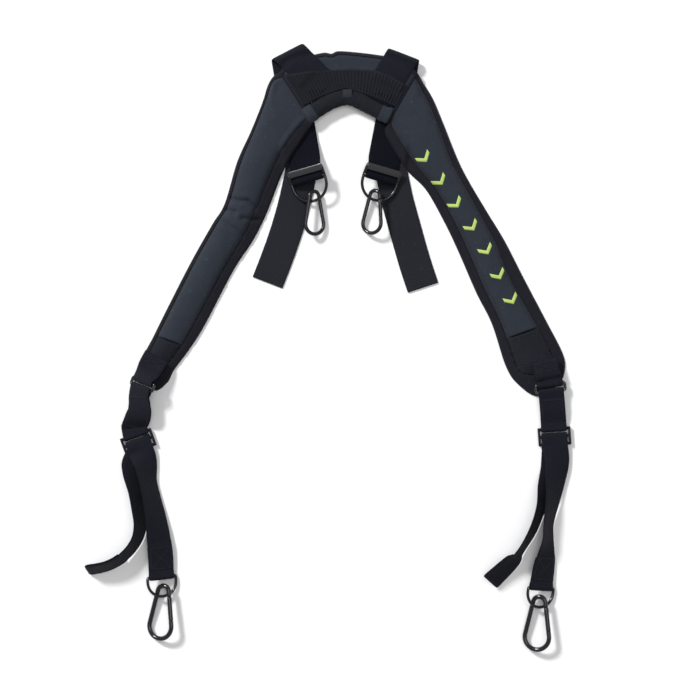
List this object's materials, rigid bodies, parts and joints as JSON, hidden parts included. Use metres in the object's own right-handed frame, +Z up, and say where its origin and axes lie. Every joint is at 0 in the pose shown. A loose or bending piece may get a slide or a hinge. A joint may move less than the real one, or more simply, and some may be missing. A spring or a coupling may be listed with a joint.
{
  "type": "saxophone neck strap",
  "caption": "Padded shoulder harness laid face up: yoke with neck roll, shoulder pads, adjustable webbing straps, D-rings and gated snap hooks.",
  "frame": {"origin": "middle of the harness's outline on the table it lies on", "axes": "+Y towards the yoke at the back of the neck, +X towards the right-hand pad as seen from above, +Z up from the table, out of the harness's face"},
  "size_m": [0.5719, 0.716, 0.0306],
  "materials": {
    "charcoal_mesh": "matt woven",
    "black_cloth": "matt",
    "black_webbing": "ribbed weave with a slight sheen",
    "ribbed_cloth": "corded",
    "padding": "foam",
    "lime_thread": "satin stitch",
    "label_cloth": "plain woven",
    "black_metal": "gloss black",
    "rivet_metal": "satin"
  },
  "bodies": {
    "yoke": {"yoke_back_panel": "black_cloth", "yoke_foam": "padding", "yoke_face_panel": "charcoal_mesh", "yoke_top_binding": "black_cloth", "yoke_band": "ribbed_cloth", "neck_roll": "ribbed_cloth", "label_patch": "label_cloth", "roll_patch_left": "black_cloth", "rear_strap_left": "black_webbing", "seam_piping_left": "black_cloth", "roll_patch_right": "black_cloth", "rear_strap_right": "black_webbing", "seam_piping_right": "black_cloth"},
    "pad_left": {"pad_back_left": "black_cloth", "pad_foam_left": "padding", "pad_border_left": "black_cloth", "pad_face_left": "charcoal_mesh", "pad_end_left": "black_cloth", "pad_tab_left": "black_webbing"},
    "rear_loop_left": {"rear_loop_left": "black_webbing", "rear_tail_left": "black_webbing"},
    "rear_slider_left": {"rear_slider_left": "black_metal"},
    "rear_hook_left": {"rear_hook_body_left": "black_metal", "rear_hook_rivet_left": "rivet_metal"},
    "rear_gate_left": {"rear_hook_gate_left": "black_metal"},
    "ring_left": {"ring_left": "black_metal"},
    "connector_left": {"connector_left": "black_webbing"},
    "lock_left": {"ladder_lock_left": "black_metal", "adjust_bend_left": "black_webbing"},
    "strap_left": {"adjust_strap_left": "black_webbing"},
    "tail_left": {"strap_tail_left": "black_webbing"},
    "dee_left": {"dee_ring_left": "black_metal"},
    "hook_left": {"lower_hook_body_left": "black_metal", "lower_hook_rivet_left": "rivet_metal"},
    "gate_left": {"lower_hook_gate_left": "black_metal"},
    "pad_right": {"pad_back_right": "black_cloth", "pad_foam_right": "padding", "pad_border_right": "black_cloth", "pad_face_right": "charcoal_mesh", "pad_end_right": "black_cloth", "pad_tab_right": "black_webbing", "pad_motif": "lime_thread"},
    "rear_loop_right": {"rear_loop_right": "black_webbing", "rear_tail_right": "black_webbing"},
    "rear_slider_right": {"rear_slider_right": "black_metal"},
    "rear_hook_right": {"rear_hook_body_right": "black_metal", "rear_hook_rivet_right": "rivet_metal"},
    "rear_gate_right": {"rear_hook_gate_right": "black_metal"},
    "ring_right": {"ring_right": "black_metal"},
    "connector_right": {"connector_right": "black_webbing"},
    "lock_right": {"ladder_lock_right": "black_metal", "adjust_bend_right": "black_webbing"},
    "strap_right": {"adjust_strap_right": "black_webbing"},
    "tail_right": {"strap_tail_right": "black_webbing"},
    "dee_right": {"dee_ring_right": "black_metal"},
    "hook_right": {"lower_hook_body_right": "black_metal", "lower_hook_rivet_right": "rivet_metal"},
    "gate_right": {"lower_hook_gate_right": "black_metal"}
  },
  "joints": [
    {"name": "pad_fold_left", "type": "hinge", "parent": "yoke", "child": "pad_left", "pos_m": [-0.03925, 0.29595, 0.0137], "axis": [-0.545, 0.8384, 0], "range_deg": [0, 45]},
    {"name": "rear_adjust_left", "type": "slide", "parent": "yoke", "child": "rear_loop_left", "axis": [0.2059, -0.9686, 0.1392], "range_m": [0, 0.02]},
    {"name": "rear_slider_tilt_left", "type": "hinge", "parent": "rear_loop_left", "child": "rear_slider_left", "pos_m": [-0.02545, 0.19945, 0.0121], "axis": [-0.9213, -0.2398, -0.306], "range_deg": [0, 14]},
    {"name": "rear_hook_swing_left", "type": "hinge", "parent": "rear_slider_left", "child": "rear_hook_left", "pos_m": [-0.0181, 0.17432, 0.00966], "axis": [-0.9213, -0.2398, -0.306], "range_deg": [0, 40]},
    {"name": "rear_gate_open_left", "type": "hinge", "parent": "rear_hook_left", "child": "rear_gate_left", "pos_m": [-0.0114, 0.1731, 0.0064], "axis": [-0.4383, -0.0077, -0.8988], "range_deg": [0, 22], "stiffness_Nm_per_rad": 0.05, "springref_deg": -5.73},
    {"name": "ring_swing_left", "type": "hinge", "parent": "pad_left", "child": "ring_left", "pos_m": [-0.21871, -0.03782, 0.014], "axis": [-0.7698, 0.2802, -0.5736], "range_deg": [0, 60]},
    {"name": "connector_swing_left", "type": "hinge", "parent": "ring_left", "child": "connector_left", "pos_m": [-0.22179, -0.04628, 0.014], "axis": [-0.7698, 0.2802, -0.5736], "range_deg": [0, 45]},
    {"name": "lock_tilt_left", "type": "hinge", "parent": "connector_left", "child": "lock_left", "pos_m": [-0.22933, -0.10209, 0.00405], "axis": [-0.9397, -0.342, 0], "range_deg": [0, 45]},
    {"name": "adjust_slide_left", "type": "slide", "parent": "lock_left", "child": "strap_left", "axis": [0.342, -0.9397, 0], "range_m": [0, 0.012]},
    {"name": "tail_slide_left", "type": "slide", "parent": "lock_left", "child": "tail_left", "axis": [-0.342, 0.9397, 0], "range_m": [0, 0.012]},
    {"name": "dee_swing_left", "type": "hinge", "parent": "strap_left", "child": "dee_left", "pos_m": [-0.19825, -0.26925, 0.0093], "axis": [-0.9313, -0.0651, 0.3584], "range_deg": [0, 60]},
    {"name": "hook_swing_left", "type": "hinge", "parent": "dee_left", "child": "hook_left", "pos_m": [-0.19662, -0.29249, 0.0093], "axis": [-0.9313, -0.0651, 0.3584], "range_deg": [0, 75]},
    {"name": "gate_open_left", "type": "hinge", "parent": "hook_left", "child": "gate_left", "pos_m": [-0.18884, -0.29421, 0.01299], "axis": [0.421, -0.0368, -0.9063], "range_deg": [0, 22], "stiffness_Nm_per_rad": 0.05, "springref_deg": -5.73},
    {"name": "pad_fold_right", "type": "hinge", "parent": "yoke", "child": "pad_right", "pos_m": [0.0859, 0.29595, 0.0137], "axis": [-0.4963, -0.8682, 0], "range_deg": [0, 45]},
    {"name": "rear_adjust_right", "type": "slide", "parent": "yoke", "child": "rear_loop_right", "axis": [-0.2059, -0.9686, 0.1392], "range_m": [0, 0.02]},
    {"name": "rear_slider_tilt_right", "type": "hinge", "parent": "rear_loop_right", "child": "rear_slider_right", "pos_m": [0.06025, 0.20045, 0.0121], "axis": [-0.9213, 0.2398, 0.306], "range_deg": [0, 14]},
    {"name": "rear_hook_swing_right", "type": "hinge", "parent": "rear_slider_right", "child": "rear_hook_right", "pos_m": [0.0529, 0.17532, 0.00966], "axis": [-0.9213, 0.2398, 0.306], "range_deg": [0, 40]},
    {"name": "rear_gate_open_right", "type": "hinge", "parent": "rear_hook_right", "child": "rear_gate_right", "pos_m": [0.0594, 0.17329, 0.01292], "axis": [0.436, -0.0458, -0.8988], "range_deg": [0, 22], "stiffness_Nm_per_rad": 0.05, "springref_deg": -5.73},
    {"name": "ring_swing_right", "type": "hinge", "parent": "pad_right", "child": "ring_right", "pos_m": [0.2602, -0.04158, 0.0095], "axis": [-0.9925, -0.1219, 0], "range_deg": [0, 60]},
    {"name": "connector_swing_right", "type": "hinge", "parent": "ring_right", "child": "connector_right", "pos_m": [0.2613, -0.05052, 0.0095], "axis": [-0.9925, -0.1219, 0], "range_deg": [0, 45]},
    {"name": "lock_tilt_right", "type": "hinge", "parent": "connector_right", "child": "lock_right", "pos_m": [0.26542, -0.09497, 0.00405], "axis": [-0.9976, -0.0698, 0], "range_deg": [0, 45]},
    {"name": "adjust_slide_right", "type": "slide", "parent": "lock_right", "child": "strap_right", "axis": [0.0698, -0.9976, 0], "range_m": [0, 0.012]},
    {"name": "tail_slide_right", "type": "slide", "parent": "lock_right", "child": "tail_right", "axis": [-0.0698, 0.9976, 0], "range_m": [0, 0.012]},
    {"name": "dee_swing_right", "type": "hinge", "parent": "strap_right", "child": "dee_right", "pos_m": [0.24955, -0.28215, 0.0101], "axis": [-0.9013, 0.0947, 0.4226], "range_deg": [0, 60]},
    {"name": "hook_swing_right", "type": "hinge", "parent": "dee_right", "child": "hook_right", "pos_m": [0.24711, -0.30532, 0.0101], "axis": [-0.9013, 0.0947, 0.4226], "range_deg": [0, 75]},
    {"name": "gate_open_right", "type": "hinge", "parent": "hook_right", "child": "gate_right", "pos_m": [0.25517, -0.30692, 0.01323], "axis": [0.3575, -0.025, -0.9336], "range_deg": [0, 22], "stiffness_Nm_per_rad": 0.05, "springref_deg": -5.73}
  ],
  "couplings": [
    {"joint": "tail_slide_left", "follows": "adjust_slide_left", "ratio": 1},
    {"joint": "tail_slide_right", "follows": "adjust_slide_right", "ratio": 1}
  ]
}
